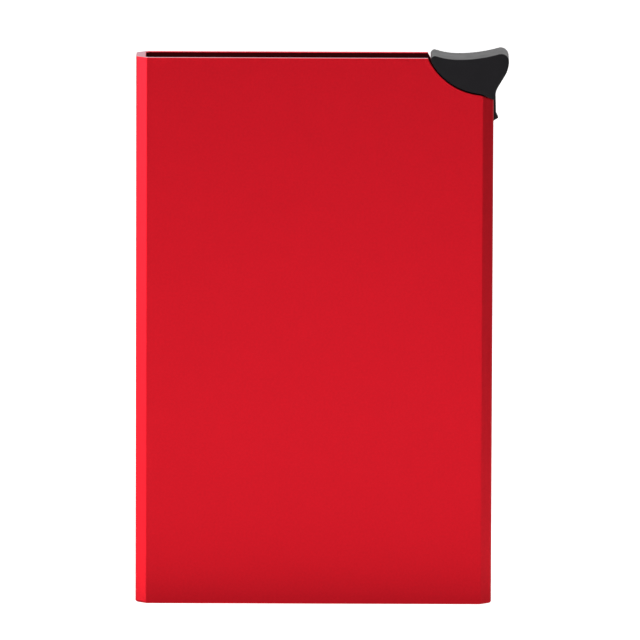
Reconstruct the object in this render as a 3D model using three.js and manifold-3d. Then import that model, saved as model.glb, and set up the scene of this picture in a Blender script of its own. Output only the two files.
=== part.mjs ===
// Pop up card holder: a bevelled aluminium sleeve with a trigger that lifts the cards in a fan.
// Millimetres. +X is to the right, -Y is the front, +Z is up, towards the mouth of the sleeve.
// The origin is the middle of the closed lower end.

import * as THREE from 'three';
import { mergeVertices } from 'three/addons/utils/BufferGeometryUtils.js';
import Module from 'manifold-3d';

const wasm = await Module();
wasm.setup();

// Driving dimensions

const card = { width: 53.98, height: 85.6, sideClearance: 0.42, belowMouth: 0.8 };
const sleeve = { broadWall: 0.9, sideWall: 1.85, bevelAcross: 1.95, bevelBack: 1.7, innerBevel: 0.6 };
const scoop = { radius: 12.45, centreInset: 1.35, drop: 7.19, flatInset: 2.35, outerDrop: 1.15 };
const seatGap = 0.1;
const runningGap = 0.3;
const cutOverrun = 1;
const travel = 22;
const roundSides = 20;
const easingSteps = 2;

const cap = { thickness: 1.6 };
const capScrew = {
  headRadius: 1.3, headHeight: 0.7, sunk: 0.2, shankRadius: 0.6, length: 3.3, leftInset: 6, rightInset: 6.3,
};
const cross = { width: 0.35, length: 1.5, depth: 0.3 };
const frame = {
  ledgeRise: 19.8, floor: 3, leftPost: 8, rightPost: 8, divider: 1, springRoom: 3.9,
  leftRib: 0.7, rightRib: 0.5, backPlate: 1.1, shelf: 1.2, tongueGap: 0.3,
};
const bar = { width: 3.6, thickness: 1.2, footInset: 0.3, notchRadius: 0.8 };
const lifter = {
  sideGap: 0.4, postGap: 0.5, steps: 5, lowStep: 1.7, armHeight: 5.5, armHalfDepth: 1.3, lapThickness: 1,
  coredSteps: 4, pocketWall: 1.6, pockets: 5,
};
const rivet = { radius: 0.7, headRadius: 1, headHeight: 0.4, backGap: 0.7, firstRise: 1.7, spacing: 2.4 };
const bumper = { height: 2, halfDepth: 1.5, sideGap: 0.3 };
const cover = { thickness: 1.3, landGap: 0.1, landFoot: 1.4 };
const coverScrew = {
  headRadius: 1.3, headHeight: 0.55, sunk: 0.1, shankRadius: 0.55, length: 3.6,
  bossRadius: 1.7, dividerInset: 2, aboveShelf: 7.1, aboveNose: 6, belowTop: 4.1,
};
// Heights of the detent leaf and its block are measured from the shelf's underside
const detent = {
  thickness: 0.4, halfWidth: 1.2, foot: 13.2, footInset: 1.6, bend: 21.1, crown: 1.4, nose: 25.1, tip: 27.7,
  tipInset: 1.5, block: 12.1, blockHeight: 4, coverGap: 0.5, windowHalf: 2.6,
};
const grip = { leftInset: 8, rightInset: 8.4, height: 10, thickness: 0.5, belowMouth: 9 };
const pad = {
  proud: 0.05, gap: 0.35, edgeBevel: 0.3, innerDish: 14, outerDish: 28, dishInset: 6.75, dishDrop: 0.2,
  tipRadius: 0.8, overhang: 2.9, hornRadius: 1.5, flankRadius: 5.5, flankTurn: 31 * Math.PI / 180,
  waistOut: 0.36, knee: 0.9,
};
const tongue = { leftGap: 0.4, sideGap: 0.7, bottomBelowMouth: 12.6, intoPad: 2.64 };
const strip = { halfDepth: 1, proud: 0.36, footProud: 0.5, bottomBelowMouth: 12.55, intoPad: 0.34 };
const nub = { rise: 0.6, height: 1.5, proud: 0.95 };
const triggerPin = { radius: 0.6, wall: 0.8, frontReach: 0.8 };

// Places worked out from the driving dimensions

// Across: the card bay, the divider, the spring's room, and the bar between its ribs
const bayWidth = card.width + card.sideClearance;
const ribWidths = frame.leftRib + frame.rightRib;
const guideWidth = frame.divider + frame.springRoom + ribWidths + bar.width + 2 * runningGap;
const halfWidth = (bayWidth + guideWidth + seatGap) / 2 + sleeve.sideWall;
const innerRight = halfWidth - sleeve.sideWall;
const frameRight = innerRight - seatGap;
const bayRight = -innerRight + bayWidth;
// In depth, from the front: cover, rivet heads, the lifter's lap, bar, rivet heads, back plate
const frontStack = sleeve.broadWall + cover.thickness + rivet.headHeight + lifter.lapThickness
  + 3 * seatGap + 2 * runningGap;
const backStack = bar.thickness + rivet.headHeight + rivet.backGap + frame.backPlate
  + sleeve.broadWall + 2 * seatGap;
const halfDepth = (frontStack + backStack) / 2;
const barFront = frontStack - halfDepth;
const barBack = barFront + bar.thickness;
const innerHalfDepth = halfDepth - sleeve.broadWall;
const frameHalfDepth = innerHalfDepth - seatGap;
const coverBack = -frameHalfDepth + cover.thickness;
const frameFront = coverBack + seatGap;
// Upwards
const ledge = frame.ledgeRise;
const mouth = ledge + card.height + card.belowMouth;
const frameBottom = cap.thickness + seatGap;
const floorTop = frameBottom + frame.floor;
const tongueBottom = mouth - tongue.bottomBelowMouth;
const frameTop = tongueBottom - frame.tongueGap;
const dividerRight = bayRight + frame.divider;
const barRight = frameRight - frame.rightRib - runningGap;
const barLeft = barRight - bar.width;
const barMiddle = (barLeft + barRight) / 2;
const ribLeftEdge = barLeft - runningGap - frame.leftRib;
const lifterBottom = floorTop + runningGap;
const armTop = lifterBottom + lifter.armHeight;
const bumperBottom = armTop + travel + runningGap;
const shelfBottom = bumperBottom + bumper.height + seatGap;
const noseZ = shelfBottom + detent.nose;
const coverScrewRises = [
  shelfBottom + coverScrew.aboveShelf, noseZ + coverScrew.aboveNose, frameTop - coverScrew.belowTop,
];
const rivetRises = [0, 1].map((index) => lifterBottom + rivet.firstRise + index * rivet.spacing);
const scoopCentre = { x: halfWidth - scoop.centreInset, z: mouth + scoop.radius - scoop.drop };
const scoopFlat = halfWidth - scoop.flatInset;
const padRadius = scoop.radius - pad.gap;
const padHalfDepth = halfDepth + pad.proud;
const padUnder = scoopCentre.z - padRadius;
const underPin = scoopCentre.z - Math.sqrt(padRadius ** 2 - (barMiddle - scoopCentre.x) ** 2);
const pinZ = underPin + triggerPin.wall + triggerPin.radius;
const barTop = pinZ + triggerPin.radius + triggerPin.wall;

// Makers of shapes

function polygon(points) {
  return new THREE.Shape(points.map(([across, along]) => new THREE.Vector2(across, along)));
}

// An outline in X and Y, carried up from one height to another
function upright(shape, low, high) {
  const geometry = new THREE.ExtrudeGeometry(shape, { depth: high - low, bevelEnabled: false });
  geometry.translate(0, 0, low);
  return geometry;
}

// An outline in X and Z, carried from the front to the back, with its front and back edges eased
function through(shape, front, back, easing = 0) {
  const geometry = new THREE.ExtrudeGeometry(shape, {
    depth: back - front - 2 * easing, curveSegments: roundSides, bevelEnabled: easing > 0,
    bevelThickness: easing, bevelSize: easing, bevelOffset: -easing, bevelSegments: easingSteps,
  });
  geometry.rotateX(Math.PI / 2);
  geometry.translate(0, back - easing, 0);
  return geometry;
}

function block(left, right, front, back, bottom, top) {
  const geometry = new THREE.BoxGeometry(right - left, back - front, top - bottom);
  geometry.translate((left + right) / 2, (front + back) / 2, (bottom + top) / 2);
  return geometry;
}

// A round post along Z, standing on the given height
function postUp(radius, bottom, top, x = 0, y = 0) {
  const geometry = new THREE.CylinderGeometry(radius, radius, top - bottom, roundSides);
  geometry.rotateX(Math.PI / 2);
  geometry.translate(x, y, (bottom + top) / 2);
  return geometry;
}

// A round post along Y, from front to back
function postBack(radius, front, back, x = 0, z = 0) {
  const geometry = new THREE.CylinderGeometry(radius, radius, back - front, roundSides);
  geometry.translate(x, (front + back) / 2, z);
  return geometry;
}

function toSolid(geometry) {
  const bare = geometry.index ? geometry.toNonIndexed() : geometry.clone();
  bare.deleteAttribute('normal');
  bare.deleteAttribute('uv');
  const merged = mergeVertices(bare);
  return new wasm.Manifold(new wasm.Mesh({
    numProp: 3,
    vertProperties: new Float32Array(merged.attributes.position.array),
    triVerts: new Uint32Array(merged.index.array),
  }));
}

function toGeometry(solid) {
  const mesh = solid.getMesh();
  const geometry = new THREE.BufferGeometry();
  geometry.setAttribute('position', new THREE.BufferAttribute(new Float32Array(mesh.vertProperties), 3));
  geometry.setIndex(new THREE.BufferAttribute(new Uint32Array(mesh.triVerts), 1));
  geometry.computeVertexNormals();
  return geometry;
}

function joined(...geometries) {
  return geometries.map(toSolid).reduce((whole, piece) => whole.add(piece));
}

function cutBy(solid, ...geometries) {
  return geometries.map(toSolid).reduce((rest, tool) => rest.subtract(tool), solid);
}

// The octagon of the sleeve's outside
function sleeveOutline() {
  const shoulder = halfWidth - sleeve.bevelAcross;
  const cheek = halfDepth - sleeve.bevelBack;
  return polygon([
    [-shoulder, -halfDepth], [shoulder, -halfDepth], [halfWidth, -cheek], [halfWidth, cheek],
    [shoulder, halfDepth], [-shoulder, halfDepth], [-halfWidth, cheek], [-halfWidth, -cheek],
  ]);
}

// The octagon of the sleeve's inside, drawn in by an inset
function cavityOutline(inset) {
  const side = innerRight - inset;
  const face = innerHalfDepth - inset;
  const bevel = sleeve.innerBevel - inset * (2 - Math.SQRT2);
  return polygon([
    [-side + bevel, -face], [side - bevel, -face], [side, -face + bevel], [side, face - bevel],
    [side - bevel, face], [-side + bevel, face], [-side, face - bevel], [-side, -face + bevel],
  ]);
}

// Angle on a circle about the scoop's centre where it passes a given X, on its lower half
function scoopAngle(radius, x) {
  return -Math.acos((x - scoopCentre.x) / radius);
}

function scoopOutline() {
  const shape = new THREE.Shape();
  const top = mouth + cutOverrun;
  const mouthX = scoopCentre.x - Math.sqrt(scoop.radius ** 2 - (scoopCentre.z - mouth) ** 2);
  const from = scoopAngle(scoop.radius, mouthX);
  const to = scoopAngle(scoop.radius, scoopFlat);
  const outerX = halfWidth + cutOverrun;
  shape.moveTo(mouthX, top);
  shape.absarc(scoopCentre.x, scoopCentre.z, scoop.radius, from, to, false);
  const flatZ = scoopCentre.z + scoop.radius * Math.sin(to);
  const slope = scoop.outerDrop / scoop.flatInset;
  shape.lineTo(outerX, flatZ - slope * (outerX - scoopFlat));
  shape.lineTo(outerX, top);
  return shape;
}

// Pieces of the case

function makeSleeve() {
  const tube = cutBy(
    toSolid(upright(sleeveOutline(), 0, mouth)),
    upright(cavityOutline(0), -cutOverrun, mouth + cutOverrun),
  );
  const slotHalfDepth = strip.halfDepth + runningGap;
  const slotBottom = mouth - strip.bottomBelowMouth - runningGap;
  return cutBy(
    tube,
    through(scoopOutline(), -halfDepth - cutOverrun, halfDepth + cutOverrun),
    block(
      innerRight - cutOverrun, halfWidth + cutOverrun, -slotHalfDepth, slotHalfDepth,
      slotBottom, mouth + cutOverrun,
    ),
  );
}

const capScrewPlaces = [-innerRight + capScrew.leftInset, innerRight - capScrew.rightInset];

function makeBottomCap() {
  let plug = toSolid(upright(cavityOutline(seatGap), 0, cap.thickness));
  for (const x of capScrewPlaces) {
    plug = cutBy(
      plug,
      postUp(capScrew.headRadius + seatGap, -cutOverrun, capScrew.sunk + capScrew.headHeight + seatGap, x),
      postUp(capScrew.shankRadius + seatGap, -cutOverrun, cap.thickness + cutOverrun, x),
    );
  }
  return plug;
}

function makeInnerFrame() {
  const back = frameHalfDepth;
  const leftPostRight = -frameRight + frame.leftPost;
  const rightPostLeft = bayRight - frame.rightPost;
  const backPlateFront = frameHalfDepth - frame.backPlate;
  const landFront = barBack + runningGap;
  const bossX = dividerRight + coverScrew.dividerInset;
  const ribRight = barRight + runningGap;
  const deep = frameHalfDepth + cutOverrun;
  let body = joined(
    block(-frameRight, frameRight, -back, back, frameBottom, floorTop),
    block(-frameRight, leftPostRight, -back, back, frameBottom, ledge),
    block(rightPostLeft, dividerRight, -back, back, frameBottom, ledge),
    block(bayRight, dividerRight, -back, back, frameBottom, frameTop),
    block(bayRight, frameRight, backPlateFront, back, frameBottom, frameTop),
    block(ribRight, frameRight, frameFront, back, frameBottom, frameTop),
    block(ribLeftEdge, ribLeftEdge + frame.leftRib, frameFront, back, shelfBottom, frameTop),
    block(ribLeftEdge, frameRight, landFront, back, shelfBottom, frameTop),
    block(bayRight, ribLeftEdge + frame.leftRib, frameFront, back, shelfBottom, shelfBottom + frame.shelf),
    block(
      bayRight, ribLeftEdge + frame.leftRib, frameFront + detent.coverGap, back,
      shelfBottom + detent.block, shelfBottom + detent.block + detent.blockHeight,
    ),
    ...coverScrewRises.map((z) => postBack(coverScrew.bossRadius, frameFront, back, bossX, z)),
  );
  const armSlot = lifter.armHalfDepth + runningGap;
  const leafLeft = dividerRight + detent.footInset - seatGap;
  const leafRight = leafLeft + detent.thickness + 2 * seatGap;
  const leafBack = detent.halfWidth + seatGap;
  const leafFoot = shelfBottom + detent.foot;
  body = cutBy(
    body,
    block(rightPostLeft - cutOverrun, ribLeftEdge, -armSlot, armSlot, floorTop, bumperBottom),
    block(leafLeft, leafRight, -deep, leafBack, leafFoot - seatGap, shelfBottom + detent.bend),
    block(
      ribLeftEdge - cutOverrun, barLeft, -deep, detent.halfWidth + runningGap,
      noseZ - detent.windowHalf, noseZ + detent.windowHalf,
    ),
    ...coverScrewRises.map((z) => postBack(
      coverScrew.shankRadius + seatGap, frameFront - cutOverrun, frameFront + coverScrew.length, bossX, z,
    )),
    ...capScrewPlaces.map((x) => postUp(
      capScrew.shankRadius + seatGap, frameBottom - cutOverrun,
      capScrew.sunk + capScrew.headHeight + capScrew.length + seatGap, x,
    )),
  );
  return body.intersect(toSolid(upright(cavityOutline(seatGap), 0, mouth)));
}

function makeGuideCover() {
  const coverLeft = dividerRight + seatGap;
  const headSeat = -frameHalfDepth + coverScrew.sunk + coverScrew.headHeight + seatGap;
  const landLeft = barLeft + cover.landGap;
  const landRight = barRight - cover.landGap;
  const landBottom = shelfBottom + cover.landFoot;
  let plate = joined(
    block(coverLeft, frameRight, -frameHalfDepth, coverBack, floorTop + seatGap, frameTop),
    block(landLeft, landRight, -frameHalfDepth, barFront - runningGap, landBottom, frameTop),
  );
  for (const z of coverScrewRises) {
    const x = dividerRight + coverScrew.dividerInset;
    plate = cutBy(
      plate,
      postBack(coverScrew.headRadius + seatGap, -halfDepth, headSeat, x, z),
      postBack(coverScrew.shankRadius + seatGap, -halfDepth, 0, x, z),
    );
  }
  return plate.intersect(toSolid(upright(cavityOutline(seatGap), 0, mouth)));
}

// A screw that points up, with its head's face at height zero and a cross in it
function makeScrew(size) {
  const blank = joined(
    postUp(size.headRadius, 0, size.headHeight),
    postUp(size.shankRadius, size.headHeight / 2, size.headHeight + size.length),
  );
  const half = cross.length / 2;
  const narrow = cross.width / 2;
  return cutBy(
    blank,
    block(-half, half, -narrow, narrow, -cutOverrun, cross.depth),
    block(-narrow, narrow, -half, half, -cutOverrun, cross.depth),
  );
}

// A bent leaf of even thickness, anchored at its foot, with a rounded nose towards the bar
function makeDetentSpring() {
  const footX = dividerRight + detent.footInset;
  const noseX = barLeft - runningGap - detent.thickness;
  const crownZ = noseZ - (detent.nose - detent.bend) / 3;
  const left = [
    [footX, shelfBottom + detent.foot], [footX, shelfBottom + detent.bend],
    [noseX - detent.crown / 2, crownZ], [noseX, noseZ], [noseX - detent.tipInset, shelfBottom + detent.tip],
  ];
  const right = left.map(([x, z]) => [x + detent.thickness, z]).reverse();
  return toSolid(through(polygon([...left, ...right]), -detent.halfWidth, detent.halfWidth));
}

function makeTravelBumper() {
  const left = dividerRight + bumper.sideGap;
  const right = ribLeftEdge + frame.leftRib - bumper.sideGap;
  return toSolid(block(
    left, right, -bumper.halfDepth, bumper.halfDepth, bumperBottom, bumperBottom + bumper.height,
  ));
}

function makeGripStrip() {
  const top = mouth - grip.belowMouth;
  const half = grip.thickness / 2;
  return toSolid(block(
    -innerRight + grip.leftInset, bayRight - grip.rightInset, -half, half, top - grip.height, top,
  ));
}

// Pieces of the slider

// Where two circles meet, on the left of the line from the first centre to the second
function circlesMeet(first, firstRadius, second, secondRadius) {
  const across = second.x - first.x;
  const rise = second.z - first.z;
  const apart = Math.hypot(across, rise);
  const along = (firstRadius ** 2 - secondRadius ** 2 + apart ** 2) / (2 * apart);
  const off = Math.sqrt(firstRadius ** 2 - along ** 2);
  return {
    x: first.x + (along * across - off * rise) / apart,
    z: first.z + (along * rise + off * across) / apart,
  };
}

function angleFrom(centre, point) {
  return Math.atan2(point.z - centre.z, point.x - centre.x);
}

// The pad's side view: a top dished in two arcs that meet at its lowest point, a horn over the side,
// a rounded flank, a waist, and an underside that follows the scoop
function padOutline() {
  const shape = new THREE.Shape();
  const lowX = halfWidth - pad.dishInset;
  const lowZ = mouth - pad.dishDrop;
  const inner = { x: lowX, z: lowZ + pad.innerDish };
  const outer = { x: lowX, z: lowZ + pad.outerDish };
  const tip = circlesMeet(scoopCentre, padRadius - pad.tipRadius, inner, pad.innerDish + pad.tipRadius);
  const hornX = halfWidth + pad.overhang - pad.hornRadius;
  const hornDrop = Math.sqrt((pad.outerDish + pad.hornRadius) ** 2 - (hornX - lowX) ** 2);
  const horn = { x: hornX, z: outer.z - hornDrop };
  const flank = { x: halfWidth + pad.overhang - pad.flankRadius, z: horn.z };
  const flat = scoopAngle(padRadius, scoopFlat);
  const flatZ = scoopCentre.z + padRadius * Math.sin(flat);
  const slope = scoop.outerDrop / scoop.flatInset;
  const waistX = halfWidth + pad.waistOut;
  const footZ = flatZ - slope * (waistX - scoopFlat);
  const flankX = flank.x + pad.flankRadius * Math.cos(pad.flankTurn);
  const flankZ = flank.z - pad.flankRadius * Math.sin(pad.flankTurn);
  const kneeZ = flankZ - (flankX - waistX) / Math.tan(pad.flankTurn);
  const kneeShare = pad.knee / (flankZ - kneeZ);
  shape.absarc(inner.x, inner.z, pad.innerDish, angleFrom(inner, tip), -Math.PI / 2, false);
  shape.absarc(outer.x, outer.z, pad.outerDish, -Math.PI / 2, angleFrom(outer, horn), false);
  shape.absarc(horn.x, horn.z, pad.hornRadius, angleFrom(horn, outer), 0, true);
  shape.absarc(flank.x, flank.z, pad.flankRadius, 0, -pad.flankTurn, true);
  shape.lineTo(waistX + (flankX - waistX) * kneeShare, kneeZ + pad.knee);
  shape.quadraticCurveTo(waistX, kneeZ, waistX, kneeZ - pad.knee);
  shape.lineTo(waistX, footZ);
  shape.absarc(scoopCentre.x, scoopCentre.z, padRadius, flat, angleFrom(scoopCentre, tip), true);
  shape.absarc(tip.x, tip.z, pad.tipRadius, angleFrom(scoopCentre, tip), angleFrom(tip, inner), true);
  return shape;
}

// The strip's side view, with the catch at its foot
function stripOutline() {
  const foot = mouth - strip.bottomBelowMouth;
  const top = padUnder + strip.intoPad;
  const inner = innerRight - runningGap - strip.halfDepth;
  return polygon([
    [inner, foot], [halfWidth, foot], [halfWidth + nub.proud, foot + nub.rise],
    [halfWidth + strip.footProud, foot + nub.height], [halfWidth + strip.proud, top], [inner, top],
  ]);
}

function makeTrigger() {
  const tongueHalfDepth = innerHalfDepth - tongue.sideGap;
  return cutBy(
    joined(
      through(padOutline(), -padHalfDepth, padHalfDepth, pad.edgeBevel),
      block(
        dividerRight + tongue.leftGap, innerRight - runningGap, -tongueHalfDepth, tongueHalfDepth,
        tongueBottom, padUnder + tongue.intoPad,
      ),
      through(stripOutline(), -strip.halfDepth, strip.halfDepth),
    ),
    block(
      barLeft - seatGap, barRight + seatGap, barFront - seatGap, barBack + seatGap,
      tongueBottom - cutOverrun, barTop + seatGap,
    ),
    postBack(
      triggerPin.radius + seatGap, barFront - triggerPin.frontReach - seatGap, padHalfDepth + cutOverrun,
      barMiddle, pinZ,
    ),
  );
}

function makeTriggerPin() {
  return toSolid(postBack(triggerPin.radius, barFront - triggerPin.frontReach, padHalfDepth - seatGap));
}

function makeSlideBar() {
  return cutBy(
    toSolid(block(barLeft, barRight, barFront, barBack, lifterBottom + bar.footInset, barTop)),
    ...rivetRises.map((z) => postBack(rivet.radius + seatGap, -halfDepth, halfDepth, barMiddle, z)),
    postBack(triggerPin.radius + seatGap, -halfDepth, halfDepth, barMiddle, pinZ),
    postBack(bar.notchRadius, -halfDepth, halfDepth, barLeft, noseZ),
  );
}

// The lifter's stepped foot, highest at the back, cored from below, with an arm that laps the bar
function makeLifter() {
  const left = -frameRight + frame.leftPost + lifter.postGap;
  const right = bayRight - frame.rightPost - lifter.postGap;
  const half = innerHalfDepth - lifter.sideGap;
  const tread = 2 * half / lifter.steps;
  const top = ledge - runningGap;
  const stepDrop = (top - lifterBottom - lifter.lowStep) / (lifter.steps - 1);
  const lapBack = barFront - runningGap;
  const steps = [];
  for (let index = 0; index < lifter.steps; index += 1) {
    const front = half - (index + 1) * tread;
    steps.push(block(left, right, front, half, lifterBottom, top - index * stepDrop));
  }
  let body = joined(
    ...steps,
    block(
      right - cutOverrun, ribLeftEdge + frame.leftRib, -lifter.armHalfDepth, lifter.armHalfDepth,
      lifterBottom, armTop,
    ),
    block(ribLeftEdge, barRight, lapBack - lifter.lapThickness, lapBack, lifterBottom, armTop),
  );
  body = cutBy(
    body,
    ...rivetRises.map((z) => postBack(rivet.radius + seatGap, -halfDepth, halfDepth, barMiddle, z)),
  );
  const pitch = (right - left - lifter.pocketWall) / lifter.pockets;
  const pocketFront = half - lifter.coredSteps * tread + lifter.pocketWall;
  const pocketTop = top - (lifter.coredSteps - 1) * stepDrop - lifter.pocketWall;
  for (let index = 0; index < lifter.pockets; index += 1) {
    const pocketLeft = left + lifter.pocketWall + index * pitch;
    body = cutBy(body, block(
      pocketLeft, pocketLeft + pitch - lifter.pocketWall, pocketFront, half - lifter.pocketWall,
      lifterBottom - cutOverrun, pocketTop,
    ));
  }
  return body;
}

function makeRivet() {
  const frontHead = barFront - runningGap - lifter.lapThickness - seatGap;
  const backHead = barBack + seatGap;
  return joined(
    postBack(rivet.radius, frontHead - rivet.headHeight / 2, backHead + rivet.headHeight / 2),
    postBack(rivet.headRadius, frontHead - rivet.headHeight, frontHead),
    postBack(rivet.headRadius, backHead, backHead + rivet.headHeight),
  );
}

// Finishes

const finishes = {
  redAluminium: { color: 0xd01828, roughness: 0.38, metalness: 0.85 },
  charcoalPlastic: { color: 0x232225, roughness: 0.5, metalness: 0 },
  blackPlastic: { color: 0x1a1a1c, roughness: 0.6, metalness: 0 },
  greyPlastic: { color: 0x55575a, roughness: 0.55, metalness: 0 },
  whitePlastic: { color: 0xd8d8d2, roughness: 0.5, metalness: 0 },
  steel: { color: 0xb4b6b8, roughness: 0.3, metalness: 1 },
  springSteel: { color: 0x9a9c9e, roughness: 0.25, metalness: 1 },
  softRubber: { color: 0x2b2b2b, roughness: 0.85, metalness: 0 },
};

function place(parent, name, solid, finish, position = [0, 0, 0], turn = 0) {
  const mesh = new THREE.Mesh(toGeometry(solid), new THREE.MeshStandardMaterial(finishes[finish]));
  mesh.name = name;
  mesh.position.set(...position);
  mesh.rotation.x = turn;
  parent.add(mesh);
  return mesh;
}

// Assembly

const holder = new THREE.Group();
const caseGroup = new THREE.Group();
const sliderGroup = new THREE.Group();
holder.add(caseGroup, sliderGroup);

place(caseGroup, 'sleeve', makeSleeve(), 'redAluminium');
place(caseGroup, 'bottom_cap', makeBottomCap(), 'blackPlastic');
place(caseGroup, 'inner_frame', makeInnerFrame(), 'greyPlastic');
place(caseGroup, 'guide_cover', makeGuideCover(), 'blackPlastic');
place(caseGroup, 'detent_spring', makeDetentSpring(), 'springSteel');
place(caseGroup, 'travel_bumper', makeTravelBumper(), 'softRubber');

const gripY = innerHalfDepth - seatGap - grip.thickness / 2;
place(caseGroup, 'grip_strip_front', makeGripStrip(), 'softRubber', [0, -gripY, 0]);
place(caseGroup, 'grip_strip_back', makeGripStrip(), 'softRubber', [0, gripY, 0]);

capScrewPlaces.forEach((x, index) => {
  place(caseGroup, `cap_screw_${index + 1}`, makeScrew(capScrew), 'steel', [x, 0, capScrew.sunk]);
});
coverScrewRises.forEach((z, index) => {
  const seat = [dividerRight + coverScrew.dividerInset, -frameHalfDepth + coverScrew.sunk, z];
  place(caseGroup, `cover_screw_${index + 1}`, makeScrew(coverScrew), 'steel', seat, -Math.PI / 2);
});

place(sliderGroup, 'trigger', makeTrigger(), 'charcoalPlastic');
place(sliderGroup, 'slide_bar', makeSlideBar(), 'steel');
place(sliderGroup, 'lifter', makeLifter(), 'whitePlastic');
place(sliderGroup, 'trigger_pin', makeTriggerPin(), 'steel', [barMiddle, 0, pinZ]);
rivetRises.forEach((z, index) => {
  place(sliderGroup, `lifter_rivet_${index + 1}`, makeRivet(), 'steel', [barMiddle, 0, z]);
});

export default holder;
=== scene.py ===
import math

import bmesh
import bpy
import numpy as np
from mathutils import Matrix, Vector


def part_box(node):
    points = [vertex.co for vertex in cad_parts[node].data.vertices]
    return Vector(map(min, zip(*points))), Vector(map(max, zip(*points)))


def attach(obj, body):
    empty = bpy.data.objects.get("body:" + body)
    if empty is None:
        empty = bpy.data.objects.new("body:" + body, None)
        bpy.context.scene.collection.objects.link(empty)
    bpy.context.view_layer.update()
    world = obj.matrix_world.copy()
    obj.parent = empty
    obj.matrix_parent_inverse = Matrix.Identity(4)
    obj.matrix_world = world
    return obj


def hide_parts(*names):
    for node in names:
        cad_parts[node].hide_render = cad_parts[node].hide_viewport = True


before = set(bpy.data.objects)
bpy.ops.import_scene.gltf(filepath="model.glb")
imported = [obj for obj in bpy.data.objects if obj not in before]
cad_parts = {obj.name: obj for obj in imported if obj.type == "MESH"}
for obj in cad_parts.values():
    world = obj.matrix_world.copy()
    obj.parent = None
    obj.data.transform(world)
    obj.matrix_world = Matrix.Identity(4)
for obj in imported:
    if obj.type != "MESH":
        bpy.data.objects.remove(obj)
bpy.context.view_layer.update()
print("frame loaded")

mm = 0.001


# Outlines and solids. A solid is a stack of outlines with the same number of points.

# A polygon's corners replaced by arcs: each arc's centre lies on the corner's bisector,
# its radius over the sine of half the corner's angle away. The radius is one for all, or one for each.
def roundedPolygon(corners, radius, steps=5):
    corners = np.asarray(corners, float)
    back = np.roll(corners, 1, 0) - corners
    ahead = np.roll(corners, -1, 0) - corners
    back /= np.linalg.norm(back, axis=1)[:, None]
    ahead /= np.linalg.norm(ahead, axis=1)[:, None]
    half = np.arccos(np.clip((back * ahead).sum(1), -1, 1)) / 2
    bisector = back + ahead
    bisector /= np.linalg.norm(bisector, axis=1)[:, None]
    centre = corners + bisector * (radius / np.sin(half))[:, None]
    start = corners + back * (radius / np.tan(half))[:, None] - centre
    end = corners + ahead * (radius / np.tan(half))[:, None] - centre
    first = np.arctan2(start[:, 1], start[:, 0])
    turn = np.arctan2(end[:, 1], end[:, 0]) - first
    turn = (turn + np.pi) % (2 * np.pi) - np.pi
    angles = first[:, None] + turn[:, None] * np.linspace(0, 1, steps + 1)
    spokes = np.stack([np.cos(angles), np.sin(angles)], 2)
    points = centre[:, None, :] + np.reshape(radius, (-1, 1, 1)) * spokes
    return points.reshape(-1, 2)


# A rectangle's corners from its lowest and its highest one, drawn in by an inset on all sides
def rectangle(low, high, inset=0):
    left, bottom = low[0] + inset, low[1] + inset
    right, top = high[0] - inset, high[1] - inset
    return [(left, bottom), (right, bottom), (right, top), (left, top)]


# Points evenly round a circle: the radius times the cosine and the sine of each angle
def circle(radius, count=48):
    angles = np.linspace(0, 2 * np.pi, count, endpoint=False)
    return radius * np.stack([np.cos(angles), np.sin(angles)], 1)


# Points from one angle to another on a circle: the centre plus the radius times cosine and sine
def arc(centre, radius, first, last, count):
    angles = np.linspace(first, last, count)
    return np.stack([centre[0] + radius * np.cos(angles), centre[1] + radius * np.sin(angles)], 1)


# Insets and rises of a quarter-round edge of radius one: one less the sine, and one less the cosine
def quarterRound(steps):
    angles = np.linspace(0, np.pi / 2, steps + 1)
    return 1 - np.sin(angles), 1 - np.cos(angles)


# Insets and heights of a stack with a quarter-round edge at both its ends
def easedRows(low, high, radius, steps=4):
    inset, rise = quarterRound(steps)
    insets = radius * np.concatenate([inset, inset[::-1]])
    heights = np.concatenate([low + radius * rise, high - radius * rise[::-1]])
    return insets, heights


# The faces of a stack of rings: four-sided walls from each ring to the next, and a cap on each end
def ringFaces(rows, count):
    point = np.arange(count)
    foot = np.arange(rows - 1)[:, None] * count
    start = (foot + point).ravel()
    ahead = (foot + np.roll(point, -1)).ravel()
    walls = np.stack([start, ahead, ahead + count, start + count], 1).tolist()
    caps = [list(range(count))[::-1], list(range((rows - 1) * count, rows * count))]
    return walls + caps


# A mesh object, with its doubled points joined and its faces turned outwards
def solid(name, points, faces, apart=0.0001 * mm):
    mesh = bpy.data.meshes.new(name)
    mesh.from_pydata(points.tolist(), [], faces)
    shape = bmesh.new()
    shape.from_mesh(mesh)
    bmesh.ops.remove_doubles(shape, verts=shape.verts, dist=apart)
    bmesh.ops.recalc_face_normals(shape, faces=shape.faces)
    shape.to_mesh(mesh)
    shape.free()
    piece = bpy.data.objects.new(name, mesh)
    bpy.context.scene.collection.objects.link(piece)
    return piece


# A stack of outlines, one at each height; plane says which axes the outlines lie in
def stacked(name, outlines, heights, plane="xy"):
    outlines = np.asarray(outlines, float)
    rows, count = outlines.shape[:2]
    along = np.repeat(np.asarray(heights, float), count)
    flat = outlines.reshape(-1, 2)
    columns = {
        "xy": (flat[:, 0], flat[:, 1], along),
        "xz": (flat[:, 0], along, flat[:, 1]),
        "yz": (along, flat[:, 0], flat[:, 1]),
    }
    return solid(name, np.stack(columns[plane], 1), ringFaces(rows, count))


# A block with all its edges rounded. Its corners keep a small share of the radius where the ends draw in.
def easedBlock(name, low, high, radius, leastShare=1 / 9):
    insets, heights = easedRows(low[2], high[2], radius)
    radii = np.maximum(radius - insets, radius * leastShare)
    outlines = [
        roundedPolygon(rectangle(low, high, inset), corner) for inset, corner in zip(insets, radii)
    ]
    return stacked(name, outlines, heights)


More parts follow.
